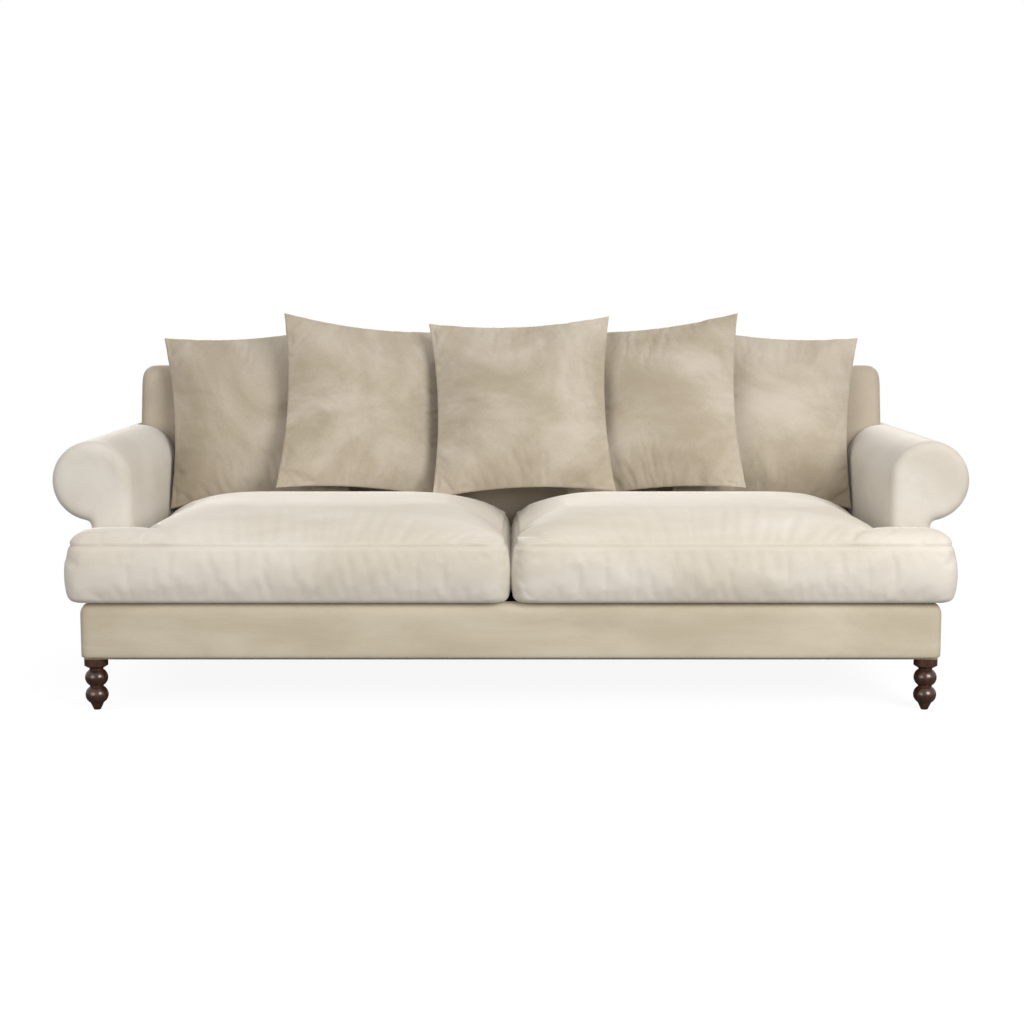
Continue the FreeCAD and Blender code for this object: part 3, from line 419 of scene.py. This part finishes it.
velvet_nap.links.new(nap_stroke.outputs["Vector"], nap_patches.inputs["Vector"])
velvet_nap.links.new(nap_place.outputs["Object"], nap_fine.inputs["Vector"])
velvet_nap.links.new(nap_place.outputs["Object"], nap_pile.inputs["Vector"])
velvet_nap.links.new(nap_fine.outputs["Fac"], nap_sum.inputs[0])
velvet_nap.links.new(nap_patches.outputs["Fac"], nap_sum.inputs[2])
velvet_nap.links.new(nap_sum.outputs["Value"], nap_range.inputs["Value"])
velvet_nap.links.new(nap_range.outputs["Result"], nap_mix.inputs["Factor"])
velvet_nap.links.new(nap_in.outputs["Deep"], nap_mix.inputs["A"])
velvet_nap.links.new(nap_in.outputs["Pale"], nap_mix.inputs["B"])
velvet_nap.links.new(nap_mix.outputs["Result"], nap_out.inputs["Color"])
velvet_nap.links.new(nap_pile.outputs["Fac"], nap_out.inputs["Height"])


def velvet(name, pale, deep, brushing):
    """Short cotton velvet. Brushing is how closely the stroked patches lie along each axis."""
    material = bpy.data.materials.new(name)
    material.use_nodes = True
    nodes, links = material.node_tree.nodes, material.node_tree.links
    shader = nodes["Principled BSDF"]
    shader.inputs["Roughness"].default_value = 0.85
    shader.inputs["Specular IOR Level"].default_value = 0.15
    shader.inputs["Sheen Weight"].default_value = 0.8
    shader.inputs["Sheen Roughness"].default_value = 0.35
    shader.inputs["Sheen Tint"].default_value = (1, 0.96, 0.89, 1)
    nap = nodes.new("ShaderNodeGroup")
    nap.node_tree = velvet_nap
    nap.inputs["Pale"].default_value = (*pale, 1)
    nap.inputs["Deep"].default_value = (*deep, 1)
    nap.inputs["Brushing"].default_value = brushing
    relief = nodes.new("ShaderNodeBump")
    relief.inputs["Strength"].default_value = 0.35
    relief.inputs["Distance"].default_value = 0.0006
    links.new(nap.outputs["Color"], shader.inputs["Base Color"])
    links.new(nap.outputs["Height"], relief.inputs["Height"])
    links.new(relief.outputs["Normal"], shader.inputs["Normal"])
    return material


def close_cover(name, node, material, voxel, turns):
    """A padded velvet cover that is fixed to the frame."""
    cover = cover_copy(name, node, material)
    evened(cover, voxel)
    relaxed(cover, turns)
    shade_soft(cover)
    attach(cover, "frame")
    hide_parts(node)


# The base is the seat's velvet coloured darker: painted shade for its low, forward-facing front.
base_velvet_painted_shade = velvet(
    "base_velvet_painted_shade", pale=(0.60, 0.53, 0.41), deep=(0.50, 0.43, 0.315), brushing=(2.2, 2.2, 7))
close_cover("base_upholstery", "base_cover", base_velvet_painted_shade, voxel=0.008, turns=3)


# Arms: a scroll board at each end carries the rails, and the padded velvet is drawn over the roll and in
# under it. A flat panel below the roll closes the outside.

arm_velvet = velvet(
    "arm_velvet", pale=(0.68, 0.635, 0.565), deep=(0.58, 0.525, 0.445), brushing=(4, 2, 4))
for side in SIDES:
    close_cover(f"{side}_arm_upholstery", f"{side}_arm_cover", arm_velvet, voxel=0.007, turns=4)
    close_cover(f"{side}_arm_outside_panel", f"{side}_outside_arm", arm_velvet, voxel=0.006, turns=2)


# Back: a raked hardwood frame, webbed, then padded on the inside and over the top and covered in velvet.
# It is bolted to the base, and a flat padded panel closes the outside.

# The back is the seat's velvet coloured darker still: painted shade for the back, which stands behind the
# scatter cushions.
back_velvet_painted_shade = velvet(
    "back_velvet_painted_shade", pale=(0.48, 0.41, 0.32), deep=(0.40, 0.335, 0.255), brushing=(3, 3, 3))
close_cover("back_upholstery", "back_cover", back_velvet_painted_shade, voxel=0.009, turns=4)
close_cover("back_outside_panel", "outside_back", back_velvet_painted_shade, voxel=0.008, turns=2)


# Seat cushions: two T-shaped boxed velvet covers, each over a soft core, lying loose on the platform. The top
# panel is sewn to the side band, crowns up in the middle, and has an ear in front of the arm.

FILL_PRESSURE = 4
LAST_FRAME = 20


def outermost(piece):
    """Keeps the outer skin of a hollow piece."""
    shape = bmesh.new()
    shape.from_mesh(piece.data)
    waiting = set(shape.verts)
    skins = []
    while waiting:
        skin = []
        front = [waiting.pop()]
        while front:
            vert = front.pop()
            skin.append(vert)
            for edge in vert.link_edges:
                other = edge.other_vert(vert)
                if other in waiting:
                    waiting.discard(other)
                    front.append(other)
        skins.append(skin)
    skins.sort(key=lambda skin: max(vert.co.z for vert in skin))
    inner = [vert for skin in skins[:-1] for vert in skin]
    bmesh.ops.delete(shape, geom=inner, context="VERTS")
    shape.to_mesh(piece.data)
    shape.free()


def swollen(piece, sewn, growth, cap):
    """Fills a cover: cloth a little larger than its form swells under pressure, held where it is sewn.

    No point moves further than the cap.
    """
    held = piece.vertex_groups.new(name="sewn")
    held.add(sewn, 1, "REPLACE")
    cloth = piece.modifiers.new("cloth", "CLOTH")
    cloth.settings.quality = 4
    cloth.settings.mass = 0.3
    cloth.settings.tension_stiffness = 12
    cloth.settings.compression_stiffness = 12
    cloth.settings.shear_stiffness = 4
    cloth.settings.bending_stiffness = 0.08
    cloth.settings.air_damping = 3
    cloth.settings.use_pressure = True
    cloth.settings.uniform_pressure_force = FILL_PRESSURE
    cloth.settings.shrink_min = -growth
    cloth.settings.shrink_max = -growth
    cloth.settings.vertex_group_mass = "sewn"
    cloth.settings.effector_weights.gravity = 0
    cloth.collision_settings.use_collision = False
    cloth.point_cache.frame_start = 1
    cloth.point_cache.frame_end = LAST_FRAME
    before = [point.co.copy() for point in piece.data.vertices]
    for step in range(1, LAST_FRAME + 1):
        scene.frame_set(step)
    settled(piece)
    scene.frame_set(1)
    for point, start in zip(piece.data.vertices, before):
        move = point.co - start
        if move.length > cap:
            point.co = start + move * (cap / move.length)


def refined(piece):
    """Adds one round of subdivision."""
    finer = piece.modifiers.new("finer", "SUBSURF")
    finer.levels = 1
    finer.render_levels = 1


seat_velvet = velvet(
    "seat_velvet", pale=(0.69, 0.635, 0.555), deep=(0.59, 0.53, 0.44), brushing=(1.6, 3.2, 5))
SEAM_UP = 0.150
SEAM_BAND = 0.008
SEAM_DEPTH = 0.0045
SEAM_WIDTH = 0.0055
SEAM_UPRIGHT_SHARE = 0.6
SEAT_SWELL_CAP = 0.022
SEAT_GROWTH = {"left": 0.016, "right": 0.020}
for side in SIDES:
    seat = cover_copy(f"{side}_seat_cushion", f"{side}_seat_cover", seat_velvet)
    outermost(seat)
    evened(seat, voxel=0.010)
    relaxed(seat, turns=4)
    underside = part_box(f"{side}_seat_cover")[0][2]
    seam_height = underside + SEAM_UP
    sewn = [
        point.index for point in seat.data.vertices
        if abs(point.co.z - seam_height) < SEAM_BAND or point.co.z < underside + SEAM_BAND]
    swollen(seat, sewn, SEAT_GROWTH[side], SEAT_SWELL_CAP)
    refined(seat)
    settled(seat)
    normals = [point.normal.copy() for point in seat.data.vertices]
    for point, normal in zip(seat.data.vertices, normals):
        off = (point.co.z - seam_height) / SEAM_WIDTH
        outwards = Vector((normal.x, normal.y, SEAM_UPRIGHT_SHARE * normal.z))
        point.co -= outwards * SEAM_DEPTH * math.exp(-off * off)
    shade_soft(seat)
    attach(seat, f"{side}_seat")
    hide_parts(f"{side}_seat_cover", f"{side}_seat_core")


# Scatter cushions: five square velvet covers with a plain seam all round and pointed ears, over soft inserts.
# They lean on the back in a row, the inner ones in front of the outer ones and the middle one foremost.

# The scatter cushions are the seat's velvet coloured darker: painted shade for their forward-facing fronts.
scatter_velvet_painted_shade = velvet(
    "scatter_velvet_painted_shade", pale=(0.55, 0.485, 0.40), deep=(0.385, 0.322, 0.235), brushing=(3, 3, 3))
LEAN = math.radians(20)
FRONT_SHARE = 80 / 126
EDGE_DRAW_IN = 0.022
GRID_STEPS = 84
START_FILL = 0.7
UNEVEN_FILL = 0.12
LUMPS = 2
SIDE_SHIFT = 9
SEAM_MERGE = 0.0005
ON_SEAM = 1e-6
SCATTER_SWELL_CAP = 0.05
for name, yaw, roll, growth in (
    ("far_left", 0, 4.5, 0.028),
    ("left", 15, -1, 0.040),
    ("middle", -3, 1.5, 0.034),
    ("right", -15, 1, 0.042),
    ("far_right", 0, -4.5, 0.030),
):
    turn = (
        Matrix.Rotation(math.pi / 2 - LEAN, 3, "X")
        @ Matrix.Rotation(math.radians(yaw), 3, "Y")
        @ Matrix.Rotation(math.radians(roll), 3, "Z"))
    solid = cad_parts[f"{name}_scatter_cover"].data
    flat = numpy.array([turn.transposed() @ point.co for point in solid.vertices])
    least, most = flat.min(axis=0), flat.max(axis=0)
    half = (most[0] - least[0]) / 2
    front = (most[2] - least[2]) * FRONT_SHARE
    rear = (most[2] - least[2]) - front
    middle = Vector(((least[0] + most[0]) / 2, (least[1] + most[1]) / 2, least[2] + rear))
    shape = bmesh.new()
    for bulge in (front, -rear):
        side_grid = bmesh.ops.create_grid(shape, x_segments=GRID_STEPS, y_segments=GRID_STEPS, size=1)
        for point in side_grid["verts"]:
            u, v = point.co.x, point.co.y
            fill = math.sqrt(max(0, 1 - u * u) * max(0, 1 - v * v))
            lump = noise.noise((u * LUMPS + roll, v * LUMPS + yaw, bulge * SIDE_SHIFT))
            fill *= START_FILL + UNEVEN_FILL * lump
            across = u * (half - EDGE_DRAW_IN * (1 - v * v))
            along = v * (half - EDGE_DRAW_IN * (1 - u * u))
            point.co = (across, along, bulge * fill)
        if bulge < 0:
            rear_faces = {face for point in side_grid["verts"] for face in point.link_faces}
            bmesh.ops.reverse_faces(shape, faces=list(rear_faces))
    bmesh.ops.remove_doubles(shape, verts=shape.verts, dist=SEAM_MERGE)
    mesh = bpy.data.meshes.new(f"{name}_scatter_cushion")
    shape.to_mesh(mesh)
    shape.free()
    mesh.materials.append(scatter_velvet_painted_shade)
    scatter = bpy.data.objects.new(f"{name}_scatter_cushion", mesh)
    scene.collection.objects.link(scatter)
    sewn = [point.index for point in mesh.vertices if abs(point.co.z) < ON_SEAM]
    swollen(scatter, sewn, growth, SCATTER_SWELL_CAP)
    heights = [point.co.z for point in scatter.data.vertices]
    front_fit, rear_fit = front / max(heights), -rear / min(heights)
    for point in scatter.data.vertices:
        point.co.z *= front_fit if point.co.z > 0 else rear_fit
        point.co = turn @ (point.co + middle)
    refined(scatter)
    shade_soft(scatter)
    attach(scatter, f"{name}_scatter")
    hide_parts(f"{name}_scatter_cover", f"{name}_scatter_insert")
